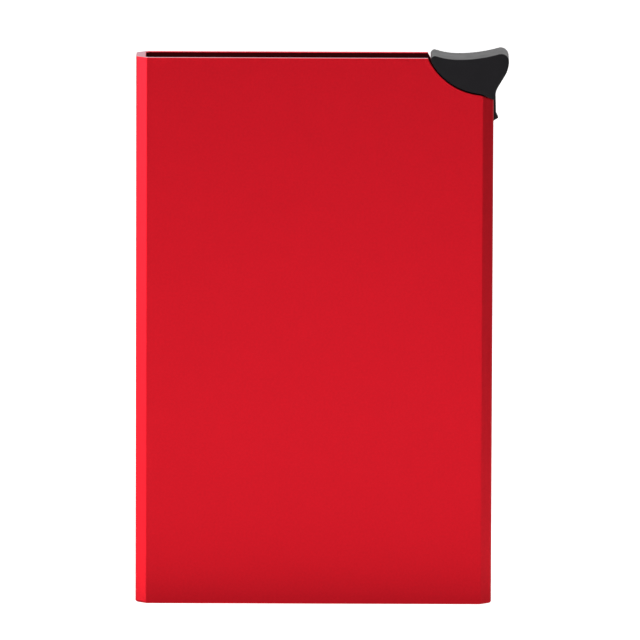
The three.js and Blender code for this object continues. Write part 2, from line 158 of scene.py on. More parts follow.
# A turned piece: a circle for each pair of radius and height, standing along Z or along Y
def turned(name, pairs, centre, axis="z", count=48):
    radii, heights = np.array(pairs, float).T
    outlines = circle(1, count)[None] * radii[:, None, None]
    if axis == "z":
        outlines = outlines + np.array([centre[0], centre[1]])
        return stacked(name, outlines, heights + centre[2], "xy")
    outlines = outlines + np.array([centre[0], centre[2]])
    return stacked(name, outlines, heights + centre[1], "xz")


# Puts the result of a piece's modifiers into its mesh
def bake(piece):
    graph = bpy.context.evaluated_depsgraph_get()
    mesh = bpy.data.meshes.new_from_object(piece.evaluated_get(graph))
    before = piece.data
    piece.modifiers.clear()
    piece.data = mesh
    bpy.data.meshes.remove(before)
    return piece


# Joins each tool to a piece or cuts it out, and removes the tool
def combine(piece, operation, *tools):
    for tool in tools:
        step = piece.modifiers.new("combine", "BOOLEAN")
        step.operation = operation
        step.solver = "EXACT"
        step.object = tool
        bake(piece)
        bpy.data.objects.remove(tool)
    return piece


# Smooth shading between the sharp edges, with each normal taken mostly from the larger faces
def smooth(piece, angle=32):
    mesh = piece.data
    mesh.polygons.foreach_set("use_smooth", np.ones(len(mesh.polygons), bool))
    mesh.set_sharp_from_angle(angle=math.radians(angle))
    step = piece.modifiers.new("weigh", "WEIGHTED_NORMAL")
    step.mode = "FACE_AREA"
    step.keep_sharp = True
    return bake(piece)


# Small round on every edge sharper than the angle
def easeEdges(piece, width, steps=2, angle=40, smoothAngle=42):
    step = piece.modifiers.new("ease", "BEVEL")
    step.width = width
    step.segments = steps
    step.limit_method = "ANGLE"
    step.angle_limit = math.radians(angle)
    step.use_clamp_overlap = True
    return smooth(bake(piece), smoothAngle)


# A copy of a CAD node with its triangles joined into flat faces
def copyOfNode(node, name, apart=0.002 * mm, flatWithin=1):
    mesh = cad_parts[node].data.copy()
    mesh.materials.clear()
    shape = bmesh.new()
    shape.from_mesh(mesh)
    bmesh.ops.remove_doubles(shape, verts=shape.verts, dist=apart)
    bmesh.ops.dissolve_limit(
        shape, angle_limit=math.radians(flatWithin), verts=shape.verts, edges=shape.edges,
    )
    shape.to_mesh(mesh)
    shape.free()
    mesh.name = name
    if mesh.attributes.get("custom_normal"):
        mesh.attributes.remove(mesh.attributes["custom_normal"])
    piece = bpy.data.objects.new(name, mesh)
    bpy.context.scene.collection.objects.link(piece)
    return piece


# Gives a piece its materials, the body that it rides on and the nodes that it replaces. Its slot is not used.
def settle(piece, body, slot, material, *nodes):
    piece.data.materials.clear()
    for one in material if isinstance(material, (list, tuple)) else [material]:
        piece.data.materials.append(one)
    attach(piece, body)
    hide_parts(*nodes)
    return piece


# Materials

# A new material with its tree, its shader and the object's own coordinates
def startMaterial(name):
    material = bpy.data.materials.new(name)
    material.use_nodes = True
    tree = material.node_tree
    shader = tree.nodes["Principled BSDF"]
    place = tree.nodes.new("ShaderNodeTexCoord")
    return material, tree, shader, place.outputs["Object"]


# Noise with grains of a real size: its scale is one over that size
def noise(tree, place, size, detail=2, stretch=(1, 1, 1)):
    spread = tree.nodes.new("ShaderNodeMapping")
    spread.inputs["Scale"].default_value = stretch
    tree.links.new(place, spread.inputs["Vector"])
    grain = tree.nodes.new("ShaderNodeTexNoise")
    grain.inputs["Scale"].default_value = 1 / size
    grain.inputs["Detail"].default_value = detail
    tree.links.new(spread.outputs["Vector"], grain.inputs["Vector"])
    return grain.outputs["Fac"]


# Noise stretched from where most of its values lie to the two values that are given
def spreadValue(tree, source, low, high, mostNoise=(0.3, 0.7)):
    ramp = tree.nodes.new("ShaderNodeMapRange")
    ramp.inputs["From Min"].default_value, ramp.inputs["From Max"].default_value = mostNoise
    ramp.inputs["To Min"].default_value = low
    ramp.inputs["To Max"].default_value = high
    tree.links.new(source, ramp.inputs["Value"])
    return ramp.outputs["Result"]


# The first colour where the share is zero, the second where it is one
def blendColors(tree, share, first, second):
    mix = tree.nodes.new("ShaderNodeMix")
    mix.data_type = "RGBA"
    mix.inputs["A"].default_value = (*first, 1)
    mix.inputs["B"].default_value = (*second, 1)
    tree.links.new(share, mix.inputs["Factor"])
    return mix.outputs["Result"]


# Links a finish's colours and roughness, each led by a noise of its own
def colorAndRoughness(tree, shader, settings, colorNoise, roughNoise):
    color = blendColors(tree, colorNoise, settings["color"], settings["colorLight"])
    tree.links.new(color, shader.inputs["Base Color"])
    roughness = spreadValue(tree, roughNoise, *settings["roughness"])
    tree.links.new(roughness, shader.inputs["Roughness"])


# Relief of a real depth, laid over another relief where one is given
def bump(tree, source, depth, shader, under=None):
    relief = tree.nodes.new("ShaderNodeBump")
    relief.inputs["Strength"].default_value = 1
    relief.inputs["Distance"].default_value = depth
    tree.links.new(source, relief.inputs["Height"])
    if under:
        tree.links.new(under, relief.inputs["Normal"])
    tree.links.new(relief.outputs["Normal"], shader.inputs["Normal"])
    return relief.outputs["Normal"]


# Blasted and dyed aluminium: two sizes of grain in the height, one in the colour, and a thin clear oxide coat
def anodisedFinish(settings):
    material, tree, shader, place = startMaterial(settings["name"])
    fine = noise(tree, place, settings["fineGrain"], detail=3)
    coarse = noise(tree, place, settings["coarseGrain"])
    colorAndRoughness(tree, shader, settings, coarse, fine)
    shader.inputs["Metallic"].default_value = 1
    shader.inputs["Coat Weight"].default_value = settings["coat"]
    shader.inputs["Coat Roughness"].default_value = settings["coatRoughness"]
    under = bump(tree, coarse, settings["coarseDepth"], shader)
    bump(tree, fine, settings["fineDepth"], shader, under)
    return material


# Moulded plastic: fine spark-eroded texture in the height and slow changes of gloss
def mouldedFinish(settings):
    material, tree, shader, place = startMaterial(settings["name"])
    texture = noise(tree, place, settings["texture"])
    slow = noise(tree, place, settings["slow"], detail=1)
    colorAndRoughness(tree, shader, settings, slow, slow)
    shader.inputs["Specular IOR Level"].default_value = settings["gloss"]
    bump(tree, texture, settings["depth"], shader)
    return material


# Drawn or ground steel: a fine grain, which the stretch draws out into lines
def steelFinish(settings):
    material, tree, shader, place = startMaterial(settings["name"])
    lines = noise(tree, place, settings["lines"], stretch=settings["stretch"])
    slow = noise(tree, place, settings["slow"], detail=1)
    colorAndRoughness(tree, shader, settings, slow, lines)
    shader.inputs["Metallic"].default_value = 1
    bump(tree, lines, settings["depth"], shader)
    return material


redAluminium = anodisedFinish({
    "name": "redAluminium", "color": (0.65, 0.0067, 0.0172), "colorLight": (0.77, 0.0085, 0.0213),
    "fineGrain": 0.12 * mm, "coarseGrain": 0.45 * mm, "fineDepth": 0.006 * mm, "coarseDepth": 0.006 * mm,
    "roughness": (0.36, 0.44), "coat": 0.12, "coatRoughness": 0.35,
})
cutAluminium = anodisedFinish({
    "name": "cutAluminium", "color": (0.44, 0.175, 0.225), "colorLight": (0.49, 0.200, 0.255),
    "fineGrain": 0.10 * mm, "coarseGrain": 0.6 * mm, "fineDepth": 0.004 * mm, "coarseDepth": 0.003 * mm,
    "roughness": (0.36, 0.44), "coat": 0.12, "coatRoughness": 0.35,
})
# The tube's inside: the same red aluminium, its colour darkened as painted shade for the shade deep in the
# tube
innerAluminiumPaintedShade = anodisedFinish({
    "name": "innerAluminiumPaintedShade", "color": (0.10, 0.0055, 0.0085), "colorLight": (0.12, 0.0065, 0.0100),
    "fineGrain": 0.12 * mm, "coarseGrain": 0.5 * mm, "fineDepth": 0.006 * mm, "coarseDepth": 0.004 * mm,
    "roughness": (0.5, 0.6), "coat": 0.02, "coatRoughness": 0.5,
})
charcoalPlastic = mouldedFinish({
    "name": "charcoalPlastic", "color": (0.0066, 0.0060, 0.0074), "colorLight": (0.0082, 0.0075, 0.0092),
    "texture": 0.13 * mm, "slow": 2.5 * mm, "depth": 0.004 * mm, "roughness": (0.35, 0.41), "gloss": 0.17,
})
blackPlastic = mouldedFinish({
    "name": "blackPlastic", "color": (0.010, 0.010, 0.011), "colorLight": (0.014, 0.014, 0.015),
    "texture": 0.16 * mm, "slow": 4 * mm, "depth": 0.008 * mm, "roughness": (0.5, 0.6), "gloss": 0.4,
})
greyPlastic = mouldedFinish({
    "name": "greyPlastic", "color": (0.070, 0.074, 0.079), "colorLight": (0.085, 0.089, 0.094),
    "texture": 0.18 * mm, "slow": 5 * mm, "depth": 0.007 * mm, "roughness": (0.45, 0.56), "gloss": 0.45,
})
whitePlastic = mouldedFinish({
    "name": "whitePlastic", "color": (0.62, 0.62, 0.59), "colorLight": (0.68, 0.68, 0.65),
    "texture": 0.2 * mm, "slow": 6 * mm, "depth": 0.003 * mm, "roughness": (0.34, 0.42), "gloss": 0.5,
})
softRubber = mouldedFinish({
    "name": "softRubber", "color": (0.018, 0.018, 0.019), "colorLight": (0.028, 0.028, 0.029),
    "texture": 0.22 * mm, "slow": 3 * mm, "depth": 0.02 * mm, "roughness": (0.78, 0.9), "gloss": 0.3,
})
barSteel = steelFinish({
    "name": "barSteel", "color": (0.52, 0.52, 0.53), "colorLight": (0.60, 0.60, 0.61), "lines": 0.5 * mm,
    "stretch": (9, 9, 0.5), "slow": 7 * mm, "depth": 0.002 * mm, "roughness": (0.22, 0.34),
})
screwSteel = steelFinish({
    "name": "screwSteel", "color": (0.50, 0.50, 0.51), "colorLight": (0.62, 0.62, 0.62), "lines": 0.2 * mm,
    "stretch": (1, 1, 1), "slow": 1.2 * mm, "depth": 0.002 * mm, "roughness": (0.2, 0.32),
})
springSteel = steelFinish({
    "name": "springSteel", "color": (0.40, 0.41, 0.43), "colorLight": (0.48, 0.48, 0.49), "lines": 0.3 * mm,
    "stretch": (1, 8, 1), "slow": 2 * mm, "depth": 0.001 * mm, "roughness": (0.16, 0.26),
})
print("materials made")


# Sleeve

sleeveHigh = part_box("sleeve")[1]
sleeve = {
    "halfWidth": sleeveHigh.x, "halfDepth": sleeveHigh.y, "mouth": sleeveHigh.z,
    "broadWall": 0.9 * mm, "sideWall": 1.85 * mm, "bevelAcross": 2.08 * mm, "bevelBack": 1.8 * mm,
    "innerBevel": 0.6 * mm, "faceRadius": 0.4 * mm, "sideRadius": 0.9 * mm, "innerRadius": 0.15 * mm,
    "footRadius": 0.45 * mm, "rimRadius": 0.08 * mm, "rimFlare": 0.1 * mm,
    "footSteps": 6, "outerSteps": 8, "innerSteps": 3, "smoothAngle": 28,
    "slotHalfDepth": 1.3 * mm, "slotDrop": 12.85 * mm, "cutOverrun": 1 * mm,
}
scoop = {
    "radius": 12.45 * mm, "centreInset": 1.35 * mm, "drop": 7.19 * mm, "flatInset": 2.35 * mm,
    "outerDrop": 1.15 * mm, "edgeRadius": 0.1 * mm, "edgeSteps": 3, "points": 64,
}
scoopCentre = (sleeve["halfWidth"] - scoop["centreInset"], sleeve["mouth"] + scoop["radius"] - scoop["drop"])
scoopFlat = sleeve["halfWidth"] - scoop["flatInset"]
scoopSlope = scoop["outerDrop"] / scoop["flatInset"]


# An octagon of half sizes and corner cuts, drawn in by an inset on all its sides. The slanting sides keep
# their direction, and their distance from the middle is less by the inset.
def octagon(halfWidth, halfDepth, across, back, inset):
    length = math.hypot(across, back)
    normal = (back / length, across / length)
    reach = normal[0] * halfWidth + normal[1] * (halfDepth - back) - inset
    side = halfWidth - inset
    face = halfDepth - inset
    cheek = (reach - normal[0] * side) / normal[1]
    shoulder = (reach - normal[1] * face) / normal[0]
    return [
        (-shoulder, -face), (shoulder, -face), (side, -cheek), (side, cheek),
        (shoulder, face), (-shoulder, face), (-side, cheek), (-side, -cheek),
    ]


# The scoop's outline in X and Z: a round cut, a short flat over the bevel, then out past the side and the top
def scoopOutline(grow):
    radius = scoop["radius"] + grow
    top = sleeve["mouth"] + sleeve["cutOverrun"]
    outer = sleeve["halfWidth"] + sleeve["cutOverrun"]
    first = -math.pi + math.asin((scoopCentre[1] - sleeve["mouth"]) / radius)
    last = -math.acos((scoopFlat - scoopCentre[0]) / radius)
    curve = arc(scoopCentre, radius, first, last, scoop["points"])
    corner = (outer, curve[-1, 1] - scoopSlope * (outer - scoopFlat))
    return np.concatenate([[(curve[0, 0], top)], curve, [corner, (outer, top)]])


# The tube's outside: bevelled outlines with a round foot, and a much smaller round at the mouth
def sleeveOutside():
    s = sleeve
    insets, heights = easedRows(0, s["mouth"], s["footRadius"], s["footSteps"])
    rim = slice(s["footSteps"] + 1, None)
    share = s["rimRadius"] / s["footRadius"]
    insets[rim] *= share
    heights[rim] = s["mouth"] - (s["mouth"] - heights[rim]) * share
    radii = np.array([s["faceRadius"], s["faceRadius"], s["sideRadius"], s["sideRadius"]] * 2)
    outlines = [
        roundedPolygon(
            octagon(s["halfWidth"], s["halfDepth"], s["bevelAcross"], s["bevelBack"], inset),
            radii, s["outerSteps"],
        ) for inset in insets
    ]
    return stacked("aluminiumSleeve", outlines, heights)


# The space inside the tube, which flares a little at both ends
def sleeveCavity():
    s = sleeve
    flares = np.array([-1, -1, 0, 0, -1, -1]) * s["rimFlare"]
    levels = [
        -s["cutOverrun"], 0, s["rimFlare"],
        s["mouth"] - s["rimFlare"], s["mouth"], s["mouth"] + s["cutOverrun"],
    ]
    halfWidth = s["halfWidth"] - s["sideWall"]
    halfDepth = s["halfDepth"] - s["broadWall"]
    outlines = [
        roundedPolygon(
            octagon(halfWidth, halfDepth, s["innerBevel"], s["innerBevel"], flare),
            s["innerRadius"], s["innerSteps"],
        ) for flare in flares
    ]
    return stacked("cavity", outlines, levels)


# The scoop's tool, which widens in a quarter round towards the two broad faces
def scoopTool():
    inset, rise = quarterRound(scoop["edgeSteps"])
    grow = scoop["edgeRadius"] * rise
    near = sleeve["halfDepth"] - scoop["edgeRadius"] * inset
    far = [sleeve["halfDepth"] + sleeve["cutOverrun"]]
    growths = np.concatenate([grow[-1:], grow[::-1], grow, grow[-1:]])
    depths = np.concatenate([np.negative(far), -near[::-1], near, far])
    return stacked("scoopTool", [scoopOutline(one) for one in growths], depths, "xz")


# The tool for the slot in the right side wall, where the trigger's strip runs
def slotTool():
    s = sleeve
    low = (s["halfWidth"] - s["sideWall"] - s["cutOverrun"], -s["slotHalfDepth"])
    high = (s["halfWidth"] + s["cutOverrun"], s["slotHalfDepth"])
    levels = [s["mouth"] - s["slotDrop"], s["mouth"] + s["cutOverrun"]]
    return stacked("slotTool", [rectangle(low, high)] * 2, levels)


# The upward share of a face's normal tells walls from the sawn end, and the reaches take in the edge rounds
paint = {
    "wallTilt": 0.3, "endTilt": 0.9, "wallReach": sleeve["rimFlare"] + sleeve["innerRadius"] / 9,
    "endReach": sleeve["rimRadius"] / 20,
}


# The faces inside the sleeve take the darker finish, whose dark red is painted shade for the shadowed inside
# of the tube.
# The sawn end at the mouth is paler, because the saw has left it smooth under the dye.
def paintFaces(piece):
    mesh = piece.data
    count = len(mesh.polygons)
    normals = np.empty(count * 3, np.float32)
    centres = np.empty(count * 3, np.float32)
    mesh.polygons.foreach_get("normal", normals)
    mesh.polygons.foreach_get("center", centres)
    tilts = normals.reshape(-1, 3)[:, 2]
    centres = np.abs(centres.reshape(-1, 3))
    # The faces inside the tube, which take the painted shade
    inside = centres[:, 0] < sleeve["halfWidth"] - sleeve["sideWall"] + paint["wallReach"]
    inside &= centres[:, 1] < sleeve["halfDepth"] - sleeve["broadWall"] + paint["wallReach"]
    inside &= np.abs(tilts) < paint["wallTilt"]
    sawn = (centres[:, 2] > sleeve["mouth"] - paint["endReach"]) & (tilts > paint["endTilt"])
    mesh.polygons.foreach_set("material_index", (inside + 2 * sawn).astype(np.int32))
    mesh.update()


sleevePiece = combine(sleeveOutside(), "DIFFERENCE", sleeveCavity(), scoopTool(), slotTool())
smooth(sleevePiece, sleeve["smoothAngle"])
settle(sleevePiece, "case", "red_aluminium", [redAluminium, innerAluminiumPaintedShade, cutAluminium], "sleeve")
paintFaces(sleevePiece)
print("sleeve made")


# Trigger: pad, tongue, strip and catch

trigger = {
    "proud": 0.05 * mm, "gap": 0.27 * mm, "innerDish": 14 * mm, "outerDish": 28 * mm, "dishInset": 6.75 * mm,
    "dishDrop": 0.2 * mm, "tipRadius": 0.8 * mm, "overhang": 2.9 * mm, "hornRadius": 1.5 * mm,
    "flankRadius": 5.5 * mm, "flankTurn": math.radians(31), "waistOut": 0.36 * mm, "knee": 0.9 * mm,
    "footRadius": 0.35 * mm,
    "topEdge": 0.14 * mm, "flankEdge": 0.5 * mm, "underEdge": 0.2 * mm,
    "flankPower": 0.7, "underTilt": -0.3, "edgeSteps": 6, "edgeBlend": 7,
    "tongueLeft": 23.4 * mm, "tongueHalfDepth": 2.9 * mm, "tongueDrop": 12.6 * mm, "intoPad": 4.3 * mm,
    "runningGap": 0.3 * mm, "tongueEdge": 0.2 * mm,
    "stripHalfDepth": 1 * mm, "stripProud": 0.36 * mm, "stripFootProud": 0.5 * mm, "stripDrop": 12.55 * mm,
    "stripIntoPad": 1 * mm, "nubRise": 0.6 * mm, "nubHeight": 1.5 * mm, "nubProud": 0.95 * mm,
    "stripEdge": 0.12 * mm, "stripSteps": 4, "smoothAngle": 30,
    "barLeft": 27.9 * mm, "barRight": 31.5 * mm, "barThickness": 1.2 * mm, "seatGap": 0.1 * mm,
}
# How many points each length of the pad's outline has
padPoints = {
    "innerDish": 24, "outerDish": 30, "horn": 14, "flank": 16, "flankLine": 12, "knee": 10,
    "foot": 7, "under": 60, "tip": 12,
}
rodSides = 32  # round the trigger's pin, its hole and the rivets


# Where two circles meet, on the left of the line from the first centre to the second. The way along that line
# is the first radius squared, less the second squared, plus the line squared, over twice the line. The way
# off it is the root of the first radius squared less the way along squared.
def circlesMeet(first, firstRadius, second, secondRadius):
    across, rise = second[0] - first[0], second[1] - first[1]
    apart = math.hypot(across, rise)
    along = (firstRadius ** 2 - secondRadius ** 2 + apart ** 2) / (2 * apart)
    off = math.sqrt(firstRadius ** 2 - along ** 2)
    return (
        first[0] + (along * across - off * rise) / apart,
        first[1] + (along * rise + off * across) / apart,
    )


# The angle at which a point is seen from a centre
def angleFrom(centre, point):
    return math.atan2(point[1] - centre[1], point[0] - centre[0])


# A curve between two points that leaves and ends along the lines to a corner: the squares of the two shares
# weigh the ends, and twice their product weighs the corner
def kneeCurve(start, corner, end, count):
    share = np.linspace(0, 1, count)[:, None]
    return (1 - share) ** 2 * start + 2 * share * (1 - share) * corner + share ** 2 * end


# The pad's side view, clockwise from the left tip: a top dished in two arcs, horn, rounded flank, waist,
# round underside
def padOutline():
    t = trigger
    n = padPoints
    radius = scoop["radius"] - t["gap"]
    lowX = sleeve["halfWidth"] - t["dishInset"]
    lowZ = sleeve["mouth"] - t["dishDrop"]
    inner = (lowX, lowZ + t["innerDish"])
    outer = (lowX, lowZ + t["outerDish"])
    tip = circlesMeet(scoopCentre, radius - t["tipRadius"], inner, t["innerDish"] + t["tipRadius"])
    hornX = sleeve["halfWidth"] + t["overhang"] - t["hornRadius"]
    hornDrop = math.sqrt((t["outerDish"] + t["hornRadius"]) ** 2 - (hornX - lowX) ** 2)
    horn = (hornX, outer[1] - hornDrop)
    flank = (sleeve["halfWidth"] + t["overhang"] - t["flankRadius"], horn[1])
    waistX = sleeve["halfWidth"] + t["waistOut"]
    flankX = flank[0] + t["flankRadius"] * math.cos(t["flankTurn"])
    flankZ = flank[1] - t["flankRadius"] * math.sin(t["flankTurn"])
    kneeZ = flankZ - (flankX - waistX) / math.tan(t["flankTurn"])
    kneeShare = t["knee"] / (flankZ - kneeZ)
    kneeStart = np.array([waistX + (flankX - waistX) * kneeShare, kneeZ + t["knee"]])
    kneeEnd = np.array([waistX, kneeZ - t["knee"]])
    flat = -math.acos((scoopFlat - scoopCentre[0]) / radius)
    flatZ = scoopCentre[1] + radius * math.sin(flat)
    footZ = flatZ - scoopSlope * (waistX - scoopFlat)
    foot = roundedPolygon(
        [(waistX, kneeEnd[1]), (waistX, footZ), (scoopFlat, flatZ)], t["footRadius"], n["foot"] - 1,
    )[n["foot"]:2 * n["foot"]]
    tipEnd = angleFrom(tip, inner) - 2 * math.pi
    return np.concatenate([
        arc(inner, t["innerDish"], angleFrom(inner, tip), -math.pi / 2, n["innerDish"]),
        arc(outer, t["outerDish"], -math.pi / 2, angleFrom(outer, horn), n["outerDish"])[1:],
        arc(horn, t["hornRadius"], angleFrom(horn, outer), 0, n["horn"])[1:],
        arc(flank, t["flankRadius"], 0, -t["flankTurn"], n["flank"])[1:],
        np.linspace((flankX, flankZ), kneeStart, n["flankLine"])[1:-1],
        kneeCurve(kneeStart, np.array([waistX, kneeZ]), kneeEnd, n["knee"]),
        foot,
        arc(scoopCentre, radius, flat, angleFrom(scoopCentre, tip), n["under"])[:-1],
        arc(tip, t["tipRadius"], angleFrom(scoopCentre, tip), tipEnd, n["tip"])[:-1],
    ])


# Each point's normal, square to the line from its neighbour before to its neighbour after
def outwardNormals(outline):
    along = np.roll(outline, -1, 0) - np.roll(outline, 1, 0)
    along /= np.linalg.norm(along, axis=1)[:, None]
    normal = np.stack([-along[:, 1], along[:, 0]], 1)
    centre = outline.mean(0)
    outward = ((outline - centre) * normal).sum() > 0
    return normal if outward else -normal


# The radius of the pad's edge at each point: small along the top, larger down the flank, small again below,
# and averaged with the points on both sides
def padEdge(outline, normals):
    t = trigger
    flank = np.clip(normals[:, 0], 0, 1) * (outline[:, 0] > sleeve["halfWidth"])
    radius = t["topEdge"] + (t["flankEdge"] - t["topEdge"]) * flank ** t["flankPower"]
    radius = np.where(normals[:, 1] < t["underTilt"], np.maximum(radius, t["underEdge"]), radius)
    reach = t["edgeBlend"]
    weights = np.hanning(2 * reach + 1)
    around = np.concatenate([radius[-reach:], radius, radius[:reach]])
    return np.convolve(around, weights / weights.sum(), "valid")


# The pad's outline in rings from the front face to the back face, drawn in along its normals at both edges
def makePad():
    outline = padOutline()
    normals = outwardNormals(outline)
    radius = padEdge(outline, normals)
    halfDepth = sleeve["halfDepth"] + trigger["proud"]
    insets, rises = quarterRound(trigger["edgeSteps"])
    front = [(inset, radius * rise - halfDepth) for inset, rise in zip(insets, rises)]
    back = [(inset, -depth) for inset, depth in front[::-1]]
    rings = []
    for inset, depth in front + back:
        ring = outline - normals * (radius * inset)[:, None]
        rings.append(np.stack([ring[:, 0], depth, ring[:, 1]], 1))
    return solid("triggerPad", np.concatenate(rings), ringFaces(len(rings), len(outline)))


# The strip along the right side with the catch at its foot, seen from the front
def makeStrip(inner, under):
    t = trigger
    halfWidth = sleeve["halfWidth"]
    foot = sleeve["mouth"] - t["stripDrop"]
    top = under + t["stripIntoPad"]
    outline = roundedPolygon([
        (inner, foot), (halfWidth, foot), (halfWidth + t["nubProud"], foot + t["nubRise"]),
        (halfWidth + t["stripFootProud"], foot + t["nubHeight"]), (halfWidth + t["stripProud"], top),
        (inner, top),
    ], t["stripEdge"], t["stripSteps"])
    normals = outwardNormals(outline)
    insets, depths = easedRows(-t["stripHalfDepth"], t["stripHalfDepth"], t["stripEdge"])
    return stacked("strip", [outline - normals * inset for inset in insets], depths, "xz")


# The moulding: pad, tongue and strip in one, with a pocket for the bar's end and a hole for the pin
def makeTrigger():
    t = trigger
    pad = makePad()
    right = sleeve["halfWidth"] - sleeve["sideWall"] - t["runningGap"]
    under = scoopCentre[1] - scoop["radius"] + t["gap"]
    foot = sleeve["mouth"] - t["tongueDrop"]
    tongue = easedBlock(
        "tongue", (t["tongueLeft"], -t["tongueHalfDepth"], foot),
        (right, t["tongueHalfDepth"], under + t["intoPad"]), t["tongueEdge"],
    )
    combine(pad, "UNION", tongue, makeStrip(right - t["stripHalfDepth"], under))
    gap = t["seatGap"]
    seat = rectangle((t["barLeft"], 0), (t["barRight"], t["barThickness"]), -gap)
    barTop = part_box("slide_bar")[1].z
    pocket = stacked("pocket", [seat] * 2, [foot - sleeve["cutOverrun"], barTop + gap])
    pinLow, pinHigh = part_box("trigger_pin")
    pinMiddle = (pinLow + pinHigh) / 2
    pinRadius = (pinHigh.x - pinLow.x) / 2 + gap
    ends = (pinLow.y - gap, sleeve["halfDepth"] + sleeve["cutOverrun"])
    hole = turned("pinHole", [(pinRadius, end) for end in ends], (pinMiddle.x, 0, pinMiddle.z), "y", rodSides)
    combine(pad, "DIFFERENCE", pocket, hole)
    pad.name = "triggerMoulding"
    return smooth(pad, t["smoothAngle"])


settle(makeTrigger(), "slider", "charcoal_plastic", charcoalPlastic, "trigger")
print("trigger made")


# Case fittings: cap, frame, cover, screws, leaf, stop and grips

# The CAD's own form with a small round on its edges
def makeCopy(node, name, edge, body, slot, material):
    return settle(easeEdges(copyOfNode(node, name), edge), body, slot, material, node)


easedEdge = {"cap": 0.12 * mm, "frame": 0.1 * mm, "cover": 0.08 * mm, "bar": 0.08 * mm, "lifter": 0.14 * mm}
makeCopy("bottom_cap", "lowerCap", easedEdge["cap"], "case", "black_plastic", blackPlastic)
makeCopy("inner_frame", "cardFrame", easedEdge["frame"], "case", "grey_plastic", greyPlastic)
makeCopy("guide_cover", "guideCoverPlate", easedEdge["cover"], "case", "black_plastic", blackPlastic)

# The point's two widths and the dome's widths and rises are shares of the shank, the head and the dome
screw = {
    "headRadius": 1.3 * mm, "edge": 0.18 * mm, "edgeSteps": 5, "backEdge": 0.05 * mm,
    "dome": 0.1 * mm, "domeCentre": 0.05 * mm, "domeWidth": 0.55, "domeRise": 0.2, "domeShoulder": 0.5,
    "threadStart": 0.25 * mm, "threadEnd": 0.5 * mm, "threadStep": 0.175 * mm, "threadDepth": 0.12 * mm,
    "pointLength": 0.3 * mm, "pointWidth": 0.75, "tipWidth": 0.3, "smoothAngle": 40,
    "crossWidth": 0.36 * mm, "crossLength": 1.5 * mm, "crossDepth": 0.35 * mm, "crossOverrun": 1 * mm,
}
capScrew = {"headHeight": 0.7 * mm, "shankRadius": 0.6 * mm, "axis": "z"}
coverScrew = {"headHeight": 0.55 * mm, "shankRadius": 0.55 * mm, "axis": "y"}


# A screw's side view as pairs of radius and height, from the head's face at height zero:
# dome, rounded edge, flat back, shank with thread rings, point
def screwPairs(kind, length):
    s = screw
    head, shank, back = s["headRadius"], kind["shankRadius"], kind["headHeight"]
    inset, rise = quarterRound(s["edgeSteps"])
    edge = zip(head - s["edge"] * inset, s["dome"] * s["domeShoulder"] + s["edge"] * rise)
    turns = np.arange(back + s["threadStart"], length - s["threadEnd"], s["threadStep"])
    depths = s["threadDepth"] * (np.arange(len(turns)) % 2)
    return [
        (s["domeCentre"], 0), (head * s["domeWidth"], s["dome"] * s["domeRise"]), *edge,
        (head, back - s["backEdge"]), (head - s["backEdge"], back), (shank, back),
        *zip(shank - depths, turns),
        (shank * s["pointWidth"], length - s["pointLength"]), (shank * s["tipWidth"], length),
    ]


# A pan-headed screw, its head lowest in Z or foremost in Y, with a cross cut into the head
def makeScrew(node, name, kind):
    low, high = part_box(node)
    middle = (low + high) / 2
    upright = kind["axis"] == "z"
    length = high.z - low.z if upright else high.y - low.y
    base = (middle.x, middle.y, low.z) if upright else (middle.x, low.y, middle.z)
    piece = turned(name, screwPairs(kind, length), base, kind["axis"])
    face, height, plane = (base[:2], base[2], "xy") if upright else (base[::2], base[1], "xz")
    half = screw["crossLength"] / 2
    narrow = screw["crossWidth"] / 2
    levels = [height - screw["crossOverrun"], height + screw["crossDepth"]]
    for across, tall in ((half, narrow), (narrow, half)):
        cut = rectangle((face[0] - across, face[1] - tall), (face[0] + across, face[1] + tall))
        combine(piece, "DIFFERENCE", stacked("crossTool", [cut] * 2, levels, plane))
    smooth(piece, screw["smoothAngle"])
    return settle(piece, "case", "steel", screwSteel, node)


for number in (1, 2):
    makeScrew(f"cap_screw_{number}", f"capScrew{number}", capScrew)
for number in (1, 2, 3):
    makeScrew(f"cover_screw_{number}", f"coverScrew{number}", coverScrew)


leaf = {
    "thickness": 0.4 * mm, "edge": 0.06 * mm, "footInset": 1.5 * mm, "tipBack": 1.5 * mm,
    "footShare": 0.54, "noseShare": 0.82, "points": 60, "easeAngle": 60,
}


# The leaf's left line runs up its foot, leans out to the nose on a smooth step (three times the square less
# twice the cube) and curls back at the tip. The right line is the same, one thickness further out.
def makeLeaf():
    low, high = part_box("detent_spring")
    rise = np.linspace(0, 1, leaf["points"])
    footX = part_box("guide_cover")[0].x + leaf["footInset"]
    noseX = high.x - leaf["thickness"]
    lean = np.clip((rise - leaf["footShare"]) / (leaf["noseShare"] - leaf["footShare"]), 0, 1)
    lean = lean * lean * (3 - 2 * lean)
    curl = np.clip((rise - leaf["noseShare"]) / (1 - leaf["noseShare"]), 0, 1) ** 2
    left = footX + (noseX - footX) * lean - leaf["tipBack"] * curl
    heights = low.z + (high.z - low.z) * rise
    outline = np.concatenate([
        np.stack([left, heights], 1), np.stack([left + leaf["thickness"], heights], 1)[::-1],
    ])
    piece = stacked("detentLeaf", [outline] * 2, [low.y, high.y], "xz")
    easeEdges(piece, leaf["edge"], angle=leaf["easeAngle"])
    return settle(piece, "case", "spring_steel", springSteel, "detent_spring")


makeLeaf()

stop = {"edge": 0.35 * mm}
stopPiece = smooth(easedBlock("travelStop", *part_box("travel_bumper"), stop["edge"]))
settle(stopPiece, "case", "soft_rubber", softRubber, "travel_bumper")

# The ends draw in and run out by these shares of their radius, from each end to where the strip is full
grip = {
    "ribs": 9, "ribDepth": 0.14 * mm, "ribPoints": 9, "fadeRibs": 0.5, "endRadius": 0.16 * mm,
    "endInsets": (0.55, 0.25, 0.07, 0), "endSpans": (0, 0.25, 0.6, 1), "endThinning": 0.05, "smoothAngle": 50,
}


